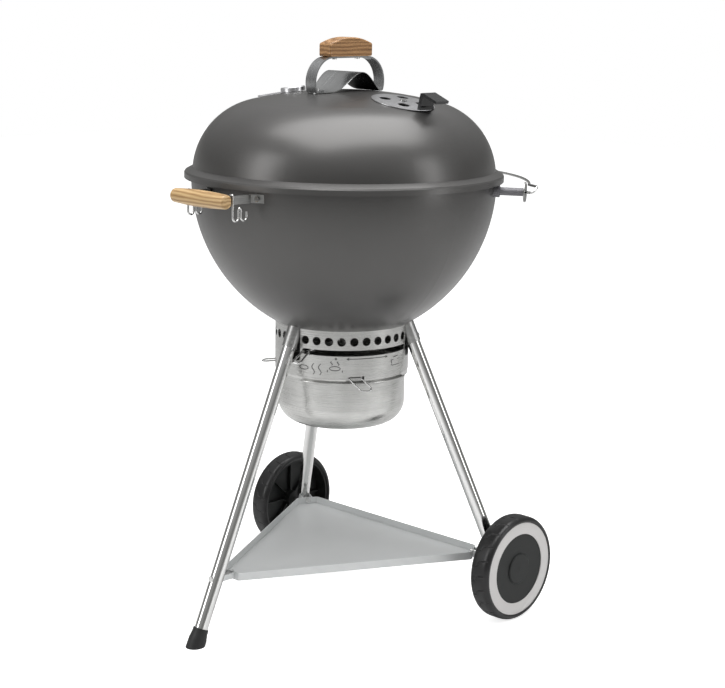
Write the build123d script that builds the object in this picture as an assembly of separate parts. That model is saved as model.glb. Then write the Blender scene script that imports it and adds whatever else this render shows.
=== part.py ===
from build123d import *
import math
import os

# Kettle charcoal grill.  Millimetres, +Z up, floor at Z = 0, kettle axis on Z.
# The front is -Y: the side handle and the foot are there, the wheels are at the back.

# ---------------------------------------------------------------- driving sizes
SHEET = 1.5                      # enamelled steel sheet of lid and bowl
RUNNING_FIT = 0.06               # radial gap where a shaft turns in a hole
FREE_GAP = 0.4                   # gap between pieces that only lie beside each other

# bowl: the side is one arc, the bottom another, tangent to it
BOWL_RADIUS = 287.0
SIDE_ARC = BOWL_RADIUS + 23.0    # radius of the side's arc, in section
SIDE_Z = 833.0                   # height where the side stands upright
BOTTOM_ARC = BOWL_RADIUS - 37.0
SIDE_R = BOWL_RADIUS - SIDE_ARC  # centre of the side's arc, beyond the axis
BOTTOM_DROP = math.sqrt((SIDE_ARC - BOTTOM_ARC)**2 - SIDE_R**2)
BOTTOM_CENTRE_Z = SIDE_Z - BOTTOM_DROP
BOWL_BOTTOM_Z = BOTTOM_CENTRE_Z - BOTTOM_ARC
RIM_Z = SIDE_Z + 12.0            # centre of the rolled rim bead
RIM_BEAD = 3.5
RING_RADIUS = 128.0              # collar of the ash catcher, under the bottom vents
BOTTOM_VENT_IN = 48.0            # vents in the bottom run between these radii
BOTTOM_VENT_OUT = RING_RADIUS - 24.0
BOTTOM_VENT_ANGLE = 24.0
BOTTOM_VENTS = 3
SHAFT_RADIUS = 5.0

# lid: crown arc and shoulder arc, then a flared lip that laps over the rim
LID_RADIUS = BOWL_RADIUS - 2.0
LID_SHOULDER = 140.0
LID_SHOULDER_Z = RIM_Z - 5.0
LID_TOP_Z = RIM_Z + 152.5
LIP_RADIUS = BOWL_RADIUS + 13.0
LIP_TOP_Z = RIM_Z + 8.0
LIP_EDGE_Z = RIM_Z + 1.0
LIP_BOTTOM_Z = RIM_Z - 11.5

# legs
LEG_RADIUS = 12.7
LEG_WALL = 1.2
LEG_TOP_RADIUS = RING_RADIUS + 12.0  # the leg axes at the mouth of the sockets
LEG_TOP_Z = BOWL_BOTTOM_Z - 1.6
FRONT_FOOT_RADIUS = 372.0        # where the front leg's axis meets the floor
REAR_LEG_AZIMUTH = 31.0
REAR_AXLE_RADIUS = 316.0         # where the rear legs' axes pass the axle's height
SOCKET_WALL = 1.6
SOCKET_DEPTH = 46.0              # how far up the leg goes
SOCKET_REACH = 90.0              # uncut length: the bowl's curve trims it
BUTTON_RADIUS = 4.0
FOOT_CAP_LENGTH = 34.0

# wheels
WHEEL_RADIUS = 101.5
WHEEL_WIDTH = 42.0
WHEEL_MIDDLE_X = 304.0
WHITE_RING_OUT = WHEEL_RADIUS - 11.5
WHITE_RING_IN = WHEEL_RADIUS - 33.5
HUB_CAP_RADIUS = 30.0
BOSS_RADIUS = 17.0
AXLE_RADIUS = 5.0
BRACKET_RADIUS = 15.6

# shelf
SHELF_Z = WHEEL_RADIUS + 8.5      # clear above the axle and its brackets
SHELF_RIM = 15.0
SHELF_SHEET = 1.5
SHELF_FRONT_RADIUS = 286.0
SHELF_REAR_RADIUS = 268.0
SHELF_CORNER_WIDTH = 44.0

# ash catcher: heights hang from the bowl's bottom
RING_SHEET = 1.2
RING_TOP_Z = BOTTOM_CENTRE_Z - math.sqrt(BOTTOM_ARC**2 - RING_RADIUS**2)
RING_BOTTOM_Z = BOWL_BOTTOM_Z - 65.6
RING_HOLES = 10
RING_HOLE_RADIUS = 8.0
RING_HOLE_Z = BOWL_BOTTOM_Z + 14.9
RING_HOLE_STEP = 10.6
SLOT_Z = BOWL_BOTTOM_Z - 6.6
SLOT_HEIGHT = 11.0
SLOT_MIDDLE = -30.0              # azimuth of the middle of the slot and its panel
SLOT_HALF_ANGLE = 48.5
SOCKET_NOTCH = 15.6              # half width of the ring's notch for a socket
POT_RADIUS = RING_RADIUS - 6.0
POT_BOTTOM_Z = BOWL_BOTTOM_Z - 161.6
POT_TOP_Z = BOWL_BOTTOM_Z - 47.6
POT_CORNER = 42.0
POT_RIM = 3.4
LATCH_Z = BOWL_BOTTOM_Z - 54.6
LATCH_AZIMUTHS = (-34.0, -154.0, 86.0)
LATCH_ANGLES = (50.0, 88.0, 50.0)    # how far each latch stands out from the wall
LATCH_WIRE = 1.5
LATCH_WIDTH = 24.0
LATCH_DROP = 30.0
LATCH_SLANT = 20.0
LATCH_SLOT_HEIGHT = 13.0
LATCH_SLOT_WIDTH = LATCH_WIDTH + 10.0

# damper blades under the charcoal, turned by a lever in the slot
LEVER_AZIMUTH = -75.0
LEVER_RADIUS = RING_RADIUS + 44.0
LEVER_WIRE = 2.0
LEVER_WIDTH = 13.0
LEVER_SHEET = 4.0
BLADE_ANGLE = 26.0
BLADE_REST = LEVER_AZIMUTH + 60  # azimuth of one blade with the vents open
BLADE_SHEET = 1.5
BLADE_GAP = 0.6

# grates
GRATE_Z = RIM_Z - 60.0
GRATE_RADIUS = BOWL_RADIUS - 17.0
GRATE_RING_WIRE = 3.2
GRATE_ROD = 2.2
GRATE_PITCH = 18.0
GRATE_HINGE_Y = 140.0
GRATE_EYE_X = 9.5 * GRATE_PITCH  # the flaps' eyes stand between two rods
CHARCOAL_Z = RIM_Z - 190.0
CHARCOAL_RADIUS = SIDE_R + math.sqrt(SIDE_ARC**2 - (SIDE_Z - CHARCOAL_Z)**2) - 16.8
LEDGE_WIDTH = 12.0               # how far a bracket reaches in under its grate
CHARCOAL_PITCH = 22.0

# side handle with its tool hooks
HANDLE_Z = RIM_Z - 24.5
HANDLE_Y = -BOWL_RADIUS - 69.0
HANDLE_LENGTH = 136.0
HANDLE_ARM_X = HANDLE_LENGTH / 2 - 14.0   # the strap's arms stand inside the grip's ends
HANDLE_GRIP_RADIUS = 15.0
HANDLE_END_RADIUS = 12.5
HANDLE_STRAP = 3.0
HANDLE_STRAP_HEIGHT = 15.0
HOOK_WIRE = 1.9

# lid rest: two tubes on the bowl and a wire hoop between their flanges
REST_AZIMUTH = 30.0
REST_Z = RIM_Z - 24.5
REST_TUBE_RADIUS = 7.5
REST_FLANGE_R = BOWL_RADIUS + 57.5
REST_FLANGE_RADIUS = 18.5
REST_FLANGE_SHEET = 2.5
HOOP_WIRE = 2.6
HOOP_RADIUS = REST_FLANGE_R + 2.5
HOOP_Z = REST_Z + 10.5

# lid handle, along Y on top of the lid
STRAP_WIDTH = 25.0
STRAP_SHEET = 3.0
STRAP_BEND = 47.0
STRAP_BEND_Y = 45.0
STRAP_TOP_Z = LID_TOP_Z + 61.5
STRAP_END_ANGLE = math.radians(-22)
GRIP_SCREW_Y = 30.0
GRIP_SCREW_RADIUS = 1.9
GRIP_LENGTH = 112.0
GRIP_WIDTH = 31.0
GRIP_TOP_Z = STRAP_TOP_Z + 35.0
GRIP_END_TOP_Z = STRAP_TOP_Z + 25.0
SHIELD_HALF_LENGTH = 88.0
SHIELD_HALF_WIDTH = 43.0
SHIELD_SHEET = 1.2
SHIELD_TOP_Z = LID_TOP_Z + 33.5
SHIELD_FLANGE_Y = 67.0           # where the arch meets its level flanges
SHIELD_LIFT = 0.4                # the flanges stand this far off the crown
SHIELD_RIVET = 2.4
FOOT_Y = 72.0

# lid vent and thermometer, both square to the crown
VENT_R = 146.0
VENT_DISC_RADIUS = 58.0
VENT_HOLE_RADIUS = 10.5
VENT_HOLE_CIRCLE = 33.0
VENT_SHEET = 1.2
VENT_GAP = 0.6
VENT_PIN = 3.0
TAB_WIDTH = 34.0
TAB_HEIGHT = 31.0
TAB_REACH = 40.0
DIAL_R = 104.0
DIAL_AZIMUTH = -155.0
DIAL_RADIUS = 23.5
DIAL_HEIGHT = 9.0
DIAL_LIFT = 0.3                  # the flat housing stands this far off the crown
STEM_RADIUS = 3.0
STEM_LENGTH = 69.4
BADGE_LENGTH = 46.0
BADGE_WIDTH = 24.0

# ---------------------------------------------------------------- worked-out sizes
CROWN_HEIGHT = LID_TOP_Z - LID_SHOULDER_Z
SHOULDER_R = LID_RADIUS - LID_SHOULDER
CROWN = (LID_RADIUS**2 + CROWN_HEIGHT**2 - 2 * LID_RADIUS * LID_SHOULDER) / 2 / (CROWN_HEIGHT - LID_SHOULDER)
CROWN_Z = LID_TOP_Z - CROWN                  # centre of the crown's sphere
LEG_AZIMUTHS = {"front": -90.0, "right": REAR_LEG_AZIMUTH, "left": 180.0 - REAR_LEG_AZIMUTH}
REAR_AXLE_X = REAR_AXLE_RADIUS * math.cos(math.radians(REAR_LEG_AZIMUTH))
AXLE_Y = REAR_AXLE_RADIUS * math.sin(math.radians(REAR_LEG_AZIMUTH))
WHEEL_OUT_X = WHEEL_MIDDLE_X + WHEEL_WIDTH / 2
STRAP_HEEL_Y = STRAP_BEND_Y + STRAP_BEND * math.cos(STRAP_END_ANGLE) - 1


# ---------------------------------------------------------------- helpers
ON_BASE = (Align.CENTER, Align.CENTER, Align.MIN)      # standing on its base
FROM_END = (Align.MIN, Align.CENTER, Align.CENTER)     # starting at its end
FROM_END_UP = (Align.MIN, Align.CENTER, Align.MIN)


def polar(radius, azimuth, z=0.0):
    a = math.radians(azimuth)
    return Vector(radius * math.cos(a), radius * math.sin(a), z)


def turned(shape, azimuth):
    return Rotation(0, 0, azimuth) * shape


def rod(start, end, radius):
    """A round bar between two points."""
    start, end = Vector(start), Vector(end)
    place = Plane(origin=start, z_dir=end - start)
    return extrude(place * Circle(radius), (end - start).length)


def bent_wire(points, bends, radius):
    """Round wire bent along straight runs with a radius at each corner."""
    path = FilletPolyline(*[Vector(p) for p in points], radius=bends)
    start = Plane(origin=path @ 0, z_dir=path % 0)
    return sweep(start * Circle(radius), path=path)


def spun(*points):
    """A solid of revolution about Z from an outline of (radius, height) points."""
    outline = Plane.XZ * make_face(Polyline(*points, close=True))
    return revolve(outline, Axis.Z)


def bowl_radius_at(z, inset=0.0):
    arc = SIDE_ARC - inset
    return SIDE_R + math.sqrt(arc**2 - (SIDE_Z - z)**2)


def crown_frame(radius, azimuth, lift=0.0):
    """Plane square to the crown, its x pointing down the slope."""
    tilt = math.asin(radius / CROWN)
    normal = polar(math.sin(tilt), azimuth, math.cos(tilt))
    down = polar(math.cos(tilt), azimuth, -math.sin(tilt))
    origin = Vector(0, 0, CROWN_Z) + normal * (CROWN + lift)
    return Plane(origin=origin, x_dir=down, z_dir=normal)


def leg_line(side):
    """Mouth of the socket and a point low on the leg, both on the leg's axis."""
    azimuth = LEG_AZIMUTHS[side]
    top = polar(LEG_TOP_RADIUS, azimuth, LEG_TOP_Z)
    if side == "front":
        low = polar(FRONT_FOOT_RADIUS, azimuth, 0)
    else:
        low = polar(REAR_AXLE_RADIUS, azimuth, WHEEL_RADIUS)
    return top, low


# ---------------------------------------------------------------- bowl
def bowl_body(inset):
    """The bowl as a filled solid, its wall moved in by inset."""
    side, bottom = SIDE_ARC - inset, BOTTOM_ARC - inset
    lean = math.atan2(BOTTOM_DROP, -SIDE_R)
    meet = (bottom * math.cos(lean), BOTTOM_CENTRE_Z - bottom * math.sin(lean))
    low = (0.0, BOTTOM_CENTRE_Z - bottom)
    part_way = (math.pi / 2 - lean) / 2
    mid = (bottom * math.sin(part_way), BOTTOM_CENTRE_Z - bottom * math.cos(part_way))
    half = (SIDE_R + side * math.cos(lean / 2), SIDE_Z - side * math.sin(lean / 2))
    top = (SIDE_R + side, SIDE_Z)
    outline = [
        ThreePointArc(low, mid, meet),
        ThreePointArc(meet, half, top),
        Line(top, (top[0], RIM_Z)),
        Line((top[0], RIM_Z), (0.0, RIM_Z)),
        Line((0.0, RIM_Z), low),
    ]
    return revolve(Plane.XZ * make_face(outline), Axis.Z)


def bottom_vents():
    """Three openings in the bottom, cut straight down."""
    half = math.radians(BOTTOM_VENT_ANGLE / 2)
    wide, narrow = BOTTOM_VENT_OUT * math.tan(half), BOTTOM_VENT_IN * math.tan(half)
    outline = Polyline(
        (BOTTOM_VENT_IN, -narrow), (BOTTOM_VENT_OUT, -wide), (BOTTOM_VENT_OUT, wide), (BOTTOM_VENT_IN, narrow),
        close=True,
    )
    face = fillet(make_face(outline).vertices(), 5)
    cut = Pos(0, 0, BOWL_BOTTOM_Z - 10) * extrude(face, 60)
    return [turned(cut, LEVER_AZIMUTH + 360 / BOTTOM_VENTS * k) for k in range(BOTTOM_VENTS)]


def bowl():
    shell = bowl_body(0) - bowl_body(SHEET)
    bead = Pos(0, 0, RIM_Z) * Torus(BOWL_RADIUS - SHEET / 2, RIM_BEAD)
    shell = shell + bead
    for cut in bottom_vents():
        shell = shell - cut
    return shell - Pos(0, 0, BOWL_BOTTOM_Z - 5) * Cylinder(SHAFT_RADIUS + RUNNING_FIT, 30)


# ---------------------------------------------------------------- lid
def dome(inset):
    """The lid's dome as a filled solid down to the lip, its wall moved in by inset."""
    crown, shoulder = CROWN - inset, LID_SHOULDER - inset
    lean = math.atan2(SHOULDER_R, LID_SHOULDER_Z - CROWN_Z)
    end = math.asin((LIP_TOP_Z - LID_SHOULDER_Z) / shoulder)
    middle = (math.pi / 2 - lean + end) / 2

    def on_crown(angle):
        return (crown * math.sin(angle), CROWN_Z + crown * math.cos(angle))

    def on_shoulder(angle):
        return (SHOULDER_R + shoulder * math.cos(angle), LID_SHOULDER_Z + shoulder * math.sin(angle))

    foot = on_shoulder(end)
    outline = [
        ThreePointArc(on_crown(0), on_crown(lean / 2), on_crown(lean)),
        ThreePointArc(on_crown(lean), on_shoulder(middle), foot),
        Line(foot, (0.0, foot[1])),
        Line((0.0, foot[1]), on_crown(0)),
    ]
    return revolve(Plane.XZ * make_face(outline), Axis.Z)


def lip():
    """Flare and upright band of the lid, lapping over the bowl's rim."""
    foot = SHOULDER_R + math.sqrt(LID_SHOULDER**2 - (LIP_TOP_Z - LID_SHOULDER_Z)**2)
    return spun(
        (foot - SHEET, LIP_TOP_Z),
        (foot, LIP_TOP_Z),
        (LIP_RADIUS - 2, LIP_EDGE_Z),
        (LIP_RADIUS, LIP_EDGE_Z - 3),
        (LIP_RADIUS, LIP_BOTTOM_Z),
        (LIP_RADIUS - SHEET, LIP_BOTTOM_Z),
        (LIP_RADIUS - SHEET, LIP_EDGE_Z - 3.6),
        (LIP_RADIUS - 2.8, LIP_EDGE_Z - SHEET - 0.2),
        (foot - SHEET, LIP_TOP_Z - SHEET - 0.2),
    )


def vent_holes(depth):
    """Four round holes about the vent's middle, through whatever lies there."""
    plane = crown_frame(VENT_R, 0)
    places = [polar(VENT_HOLE_CIRCLE, 45 + 90 * k) for k in range(4)]
    return [plane * Pos(p.X, p.Y, 0) * Cylinder(VENT_HOLE_RADIUS, depth) for p in places]


def lid():
    shell = dome(0) - dome(SHEET) + lip()
    for cut in vent_holes(30):
        shell = shell - cut
    for cut in foot_holes(SHIELD_RIVET + 0.1):
        shell = shell - cut
    shell = shell - crown_frame(VENT_R, 0) * Cylinder(VENT_PIN + RUNNING_FIT, 30)
    return shell - crown_frame(DIAL_R, DIAL_AZIMUTH) * Cylinder(STEM_RADIUS + FREE_GAP, 30)


def vent_disc():
    """Damper disc: a piece of a sphere that shares the crown's centre."""
    low, high = CROWN + VENT_GAP, CROWN + VENT_GAP + VENT_SHEET
    plane = crown_frame(VENT_R, 0)
    blank = plane * Cylinder(VENT_DISC_RADIUS, 40)
    shell = Pos(0, 0, CROWN_Z) * (Sphere(high) - Sphere(low))
    disc = blank & shell
    for cut in vent_holes(30):
        disc = disc - cut
    return disc - plane * Cylinder(VENT_PIN + RUNNING_FIT, 30)


def vent_rivet():
    """Peened pin that holds the disc and turns with it."""
    plane = crown_frame(VENT_R, 0)
    head = Pos(0, 0, VENT_GAP + VENT_SHEET + 1.2) * Cylinder(6.5, 2.0)
    pin = Pos(0, 0, 0) * Cylinder(VENT_PIN, 6.4)
    tail = Pos(0, 0, -SHEET - 1.7) * Cylinder(6.5, 2.0)
    return plane * (head + pin + tail)


def vent_tab():
    """Upright tab on the disc's edge with a lip to push with a finger."""
    root = VENT_DISC_RADIUS - 7
    foot = math.sqrt(CROWN**2 - (root + 3)**2) - CROWN + VENT_GAP + VENT_SHEET + 0.3
    outline = Polyline(
        (root, foot),
        (root + 9, foot),
        (root + 9, foot + 5),
        (root + 7, foot + 7),
        (root + 8, TAB_HEIGHT - 6),
        (root + TAB_REACH, TAB_HEIGHT - 12),
        (root + TAB_REACH + 1, TAB_HEIGHT - 7),
        (root + 6, TAB_HEIGHT),
        (root + 1, TAB_HEIGHT - 2),
        close=True,
    )
    side = Plane.XZ * make_face(outline)
    return crown_frame(VENT_R, 0) * extrude(side, TAB_WIDTH / 2, both=True)


# ---------------------------------------------------------------- lid thermometer
def dial_frame():
    return crown_frame(DIAL_R, DIAL_AZIMUTH)


def dial_housing():
    body = Cylinder(DIAL_RADIUS, DIAL_HEIGHT, align=ON_BASE)
    body = chamfer(body.edges().group_by(Axis.Z)[-1], 2)
    well = Pos(0, 0, DIAL_HEIGHT - 3) * Cylinder(DIAL_RADIUS - 3, 6, align=ON_BASE)
    bore = Cylinder(STEM_RADIUS, 30)
    return dial_frame() * Pos(0, 0, DIAL_LIFT) * (body - well - bore)


def dial_face():
    face = Cylinder(DIAL_RADIUS - 3.1, 0.8, align=ON_BASE)
    return dial_frame() * Pos(0, 0, DIAL_LIFT + DIAL_HEIGHT - 3) * (face - Cylinder(STEM_RADIUS, 30))


def dial_stem():
    return dial_frame() * Pos(0, 0, -62) * Cylinder(STEM_RADIUS, STEM_LENGTH, align=ON_BASE)


def dial_lens():
    lens = Cylinder(DIAL_RADIUS - 3.1, 0.7, align=ON_BASE)
    return dial_frame() * Pos(0, 0, DIAL_LIFT + DIAL_HEIGHT - 1.0) * lens


def dial_needle():
    blade = Pos(5, 0, 0) * Box(20, 1.4, 0.4, align=ON_BASE)
    boss = Cylinder(2.2, 0.4, align=ON_BASE)
    needle = Rotation(0, 0, 130) * (blade + boss)
    return dial_frame() * Pos(0, 0, DIAL_LIFT + DIAL_HEIGHT - 1.55) * needle


def badge_plate():
    """Blank tapered badge below the dial, with a raised rim along its edge."""
    near, far = DIAL_RADIUS - 3, DIAL_RADIUS + BADGE_LENGTH
    half = BADGE_WIDTH / 2
    outline = Polyline(
        (near, -half), (far - 6, -half), (far, 4 - half), (far, half - 4), (far - 6, half), (near, half),
        close=True,
    )
    plate = extrude(make_face(outline), 3.0)
    plate = plate - Cylinder(DIAL_RADIUS + 0.2, 30)
    lean = dial_frame() * Pos(0, 0, DIAL_LIFT) * Rotation(0, 2.6, 0) * plate
    return lean - dome(0)


# ---------------------------------------------------------------- lid handle
def strap_outline():
    """Side view of the strap (Y, Z): flat top and two round shoulders that curl in to the feet."""
    r_out, r_in = STRAP_BEND, STRAP_BEND - STRAP_SHEET
    middle = (math.pi / 2 + STRAP_END_ANGLE) / 2

    def on(side, radius, angle):
        y = STRAP_BEND_Y + radius * math.cos(angle)
        return (side * y, STRAP_TOP_Z - STRAP_BEND + radius * math.sin(angle))

    lines = [
        Line(on(-1, r_out, math.pi / 2), on(1, r_out, math.pi / 2)),
        Line(on(-1, r_in, math.pi / 2), on(1, r_in, math.pi / 2)),
    ]
    for side in (-1, 1):
        for radius in (r_out, r_in):
            angles = (math.pi / 2, middle, STRAP_END_ANGLE)
            lines.append(ThreePointArc(*[on(side, radius, a) for a in angles]))
        lines.append(Line(on(side, r_out, STRAP_END_ANGLE), on(side, r_in, STRAP_END_ANGLE)))
    return lines


def foot_plate(side, inner_y, width, lift, thickness):
    """Flat plate square to the crown at a foot, from inner_y out to the strap's heel."""
    plane = crown_frame(FOOT_Y, side * 90, lift)
    return plane * Pos(inner_y - FOOT_Y, 0, 0) * Box(
        STRAP_HEEL_Y - inner_y, width, thickness, align=FROM_END_UP
    )


def foot_holes(radius):
    return [crown_frame(FOOT_Y + 4, side * 90) * Cylinder(radius, 24) for side in (-1, 1)]


def lid_strap():
    strap = extrude(Plane.YZ * make_face(strap_outline()), STRAP_WIDTH / 2, both=True)
    over_shield = SHIELD_LIFT + SHIELD_SHEET + 0.05
    for side in (-1, 1):
        strap = strap + foot_plate(side, FOOT_Y - 4, STRAP_WIDTH, over_shield, STRAP_SHEET)
    strap = strap - dome(-SHIELD_LIFT - SHIELD_SHEET + 0.3)
    for cut in foot_holes(SHIELD_RIVET + 0.1):
        strap = strap - cut
    for y in (-GRIP_SCREW_Y, GRIP_SCREW_Y):
        strap = strap - Pos(0, y, STRAP_TOP_Z) * Cylinder(GRIP_SCREW_RADIUS + 0.1, 20)
    return strap


def lid_grip():
    """Wooden grip with an arched back, seated on the strap."""
    half, end = GRIP_LENGTH / 2, GRIP_END_TOP_Z
    low, belly = STRAP_TOP_Z + 0.2, STRAP_TOP_Z + 3
    outline = [
        Line((-half + 4, low), (half - 4, low)),
        Line((half - 4, low), (half, low + 4)),
        Line((half, low + 4), (half, end - 5)),
        ThreePointArc((half, end - 5), (half - 1.6, end - 1.2), (half - 5, end + 0.2)),
        ThreePointArc((half - 5, end + 0.2), (0, GRIP_TOP_Z), (-half + 5, end + 0.2)),
        ThreePointArc((-half + 5, end + 0.2), (-half + 1.6, end - 1.2), (-half, end - 5)),
        Line((-half, end - 5), (-half, low + 4)),
        Line((-half, low + 4), (-half + 4, low)),
    ]
    grip = extrude(Plane.YZ * make_face(outline), GRIP_WIDTH / 2, both=True)
    side_edges = [e for e in grip.edges() if abs(abs(e.center().X) - GRIP_WIDTH / 2) < 0.01]
    long_edges = [e for e in side_edges if e.center().Z > belly]
    grip = fillet(long_edges, 3.5)
    for y in (-GRIP_SCREW_Y, GRIP_SCREW_Y):
        grip = grip - Pos(0, y, low) * Cylinder(GRIP_SCREW_RADIUS + 0.1, 30)
    return grip


def lid_grip_screws():
    """Two screws that come up through the strap into the grip."""
    screws = []
    for y in (-GRIP_SCREW_Y, GRIP_SCREW_Y):
        head = Pos(0, y, STRAP_TOP_Z - STRAP_SHEET - 2.6) * Cylinder(4.5, 2.4, align=ON_BASE)
        shank = Pos(0, y, STRAP_TOP_Z - STRAP_SHEET - 0.2) * Cylinder(GRIP_SCREW_RADIUS, 16, align=ON_BASE)
        screws.append(head + shank)
    return Compound(children=screws)


def shield_height(y, lift):
    """Height of the arched sheet: a smooth wave between two level flanges."""
    flange_z = crown_frame(FOOT_Y, 90, SHIELD_LIFT).origin.Z + 1.0
    share = (1 + math.cos(math.pi * y / SHIELD_FLANGE_Y)) / 2
    return flange_z + (SHIELD_TOP_Z - flange_z) * share + lift


def heat_shield():
    """Leaf-shaped sheet arched along the handle, its flanges under the strap's feet."""
    ys = [SHIELD_FLANGE_Y * (k / 8 - 1) for k in range(17)]
    upper = [(y, shield_height(y, SHIELD_SHEET / 2)) for y in ys]
    lower = [(y, shield_height(y, -SHIELD_SHEET / 2)) for y in ys]
    outline = [
        Spline(*[Vector(*p) for p in upper]),
        Line(upper[-1], lower[-1]),
        Spline(*[Vector(*p) for p in reversed(lower)]),
        Line(lower[0], upper[0]),
    ]
    sheet = extrude(Plane.YZ * make_face(outline), 80, both=True)
    for side in (-1, 1):
        sheet = sheet + foot_plate(side, SHIELD_FLANGE_Y - 3, 160, SHIELD_LIFT, SHIELD_SHEET)
    leaf = Pos(0, 0, LID_TOP_Z - 30) * extrude(Ellipse(SHIELD_HALF_WIDTH, SHIELD_HALF_LENGTH), 100)
    shield = sheet & leaf
    for cut in foot_holes(SHIELD_RIVET + 0.1):
        shield = shield - cut
    return shield - lid_strap()


def shield_rivets():
    """Two rivets that hold the strap's feet and the shield down on the lid."""
    stack = SHIELD_LIFT + SHIELD_SHEET + 0.05 + STRAP_SHEET
    rivets = []
    for side in (-1, 1):
        head = Pos(0, 0, stack + 0.05) * Cylinder(5.5, 2.2, align=ON_BASE)
        shank = Pos(0, 0, -3) * Cylinder(SHIELD_RIVET, stack + 4, align=ON_BASE)
        tail = Pos(0, 0, -SHEET - 2.2) * Cylinder(5.0, 2.0, align=ON_BASE)
        rivets.append(crown_frame(FOOT_Y + 4, side * 90) * (head + shank + tail))
    return Compound(children=rivets)


# ---------------------------------------------------------------- legs and sockets
def leg_direction(side):
    top, low = leg_line(side)
    return (low - top).normalized()


def leg_socket(side):
    """Tube welded to the bowl, cut to the bowl's curve at its top."""
    top, _ = leg_line(side)
    along = leg_direction(side)
    outer = rod(top, top - along * SOCKET_REACH, LEG_RADIUS + RUNNING_FIT + SOCKET_WALL)
    socket = outer - rod(top + along, top - along * (SOCKET_REACH + 1), LEG_RADIUS + RUNNING_FIT)
    socket = socket - bowl_body(0)
    return socket - rod(*button_line(side), BUTTON_RADIUS + 0.2)


def button_line(side):
    """Axis of the snap button: from inside the leg to just outside the socket."""
    top, _ = leg_line(side)
    along = leg_direction(side)
    centre = top - along * 9
    out = polar(1, LEG_AZIMUTHS[side] + 50)
    out = (out - along * out.dot(along)).normalized()
    return centre + out * (LEG_RADIUS - 4), centre + out * (LEG_RADIUS + 4.4)


def leg_end(side):
    top, low = leg_line(side)
    along = leg_direction(side)
    if side == "front":
        return low - along * 9
    return low + along * 10


def leg(side):
    top, _ = leg_line(side)
    along = leg_direction(side)
    start = top - along * (SOCKET_DEPTH - 16)
    end = leg_end(side)
    tube = rod(start, end, LEG_RADIUS) - rod(start - along, end + along, LEG_RADIUS - LEG_WALL)
    tube = tube - bowl_body(-FREE_GAP)
    tube = tube - rod(*button_line(side), BUTTON_RADIUS)
    if side != "front":
        tube = tube - axle_hole()
    return tube - shelf_screw_hole(side)


def snap_buttons():
    return Compound(children=[rod(*button_line(side), BUTTON_RADIUS) for side in LEG_AZIMUTHS])


def foot_cap():
    """Moulded cap on the front leg, cut level with the floor."""
    _, low = leg_line("front")
    along = leg_direction("front")
    start = low - along * FOOT_CAP_LENGTH
    place = Plane(origin=start, z_dir=along)
    outline = Polyline(
        (0, 0), (LEG_RADIUS + 1.6, 0), (LEG_RADIUS + 2.0, 8), (LEG_RADIUS + 4.0, 20), (LEG_RADIUS + 5.2, 60), (0, 60),
        close=True,
    )
    body = place * revolve(Plane.XZ * make_face(outline), Axis.Z)
    body = body - rod(start - along, low - along * 9, LEG_RADIUS + RUNNING_FIT)
    floor = Pos(0, -FRONT_FOOT_RADIUS, 0) * Box(300, 300, 200, align=(Align.CENTER, Align.CENTER, Align.MAX))
    return body - floor


def axle_hole():
    return Pos(0, AXLE_Y, WHEEL_RADIUS) * Rotation(0, 90, 0) * Cylinder(AXLE_RADIUS + RUNNING_FIT, 800)


def axle_bracket(side):
    """Moulded end on a rear leg, with the axle's hole across it."""
    _, low = leg_line(side)
    along = leg_direction(side)
    body = rod(low - along * 7, low + along * 16, BRACKET_RADIUS)
    body = body - rod(low - along * 30, low + along * 10, LEG_RADIUS + RUNNING_FIT)
    return body - axle_hole()


def axle():
    return Pos(0, AXLE_Y, WHEEL_RADIUS) * Rotation(0, 90, 0) * Cylinder(AXLE_RADIUS, 2 * (WHEEL_OUT_X - 8))


# ---------------------------------------------------------------- shelf
def shelf_corners():
    """Corner lines of the tray, each square to its leg's direction."""
    places = []
    for side in ("front", "right", "left"):
        radius = SHELF_FRONT_RADIUS if side == "front" else SHELF_REAR_RADIUS
        azimuth = LEG_AZIMUTHS[side]
        centre = polar(radius, azimuth)
        across = polar(SHELF_CORNER_WIDTH / 2, azimuth + 90)
        places += [centre - across, centre + across]
    return places


def leg_radius_at(side, z):
    top, low = leg_line(side)
    share = (top.Z - z) / (top.Z - low.Z)
    reach = math.hypot(low.X, low.Y)
    return LEG_TOP_RADIUS + (reach - LEG_TOP_RADIUS) * share


def shelf():
    """Pressed tray with an upturned rim, and a tab at each corner for its leg."""
    outer = make_face(Polyline(*[(p.X, p.Y) for p in shelf_corners()], close=True))
    outer = fillet(outer.vertices(), 6)
    inner = offset(outer, -SHELF_SHEET)
    tray = extrude(outer, SHELF_RIM) - Pos(0, 0, SHELF_SHEET) * extrude(inner, SHELF_RIM)
    tray = Pos(0, 0, SHELF_Z) * tray
    for side in LEG_AZIMUTHS:
        radius = SHELF_FRONT_RADIUS if side == "front" else SHELF_REAR_RADIUS
        reach = leg_radius_at(side, SHELF_Z + SHELF_RIM / 2) + 2
        tab = Pos(radius - 1, 0, SHELF_Z + 3) * Box(
            reach - radius + 1, 22, SHELF_RIM - 4, align=FROM_END_UP
        )
        hollow = Pos(radius - 2, 0, SHELF_Z + 3 + SHELF_SHEET) * Box(
            reach - radius + 20, 22 - 2 * SHELF_SHEET, SHELF_RIM, align=FROM_END_UP
        )
        top, low = leg_line(side)
        tray = tray + (turned(tab - hollow, LEG_AZIMUTHS[side]) - rod(top, low, LEG_RADIUS + 0.1))
    for side in LEG_AZIMUTHS:
        tray = tray - shelf_screw_hole(side)
    return tray


def shelf_screw_line(side):
    """Axis of the screw through a leg, from outside the leg into the tray's wall."""
    z = SHELF_Z + SHELF_RIM - 5
    azimuth = LEG_AZIMUTHS[side]
    inner = SHELF_FRONT_RADIUS if side == "front" else SHELF_REAR_RADIUS
    outer = leg_radius_at(side, z) + LEG_RADIUS / 0.9
    return polar(inner - 6, azimuth, z), polar(outer, azimuth, z)


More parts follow.
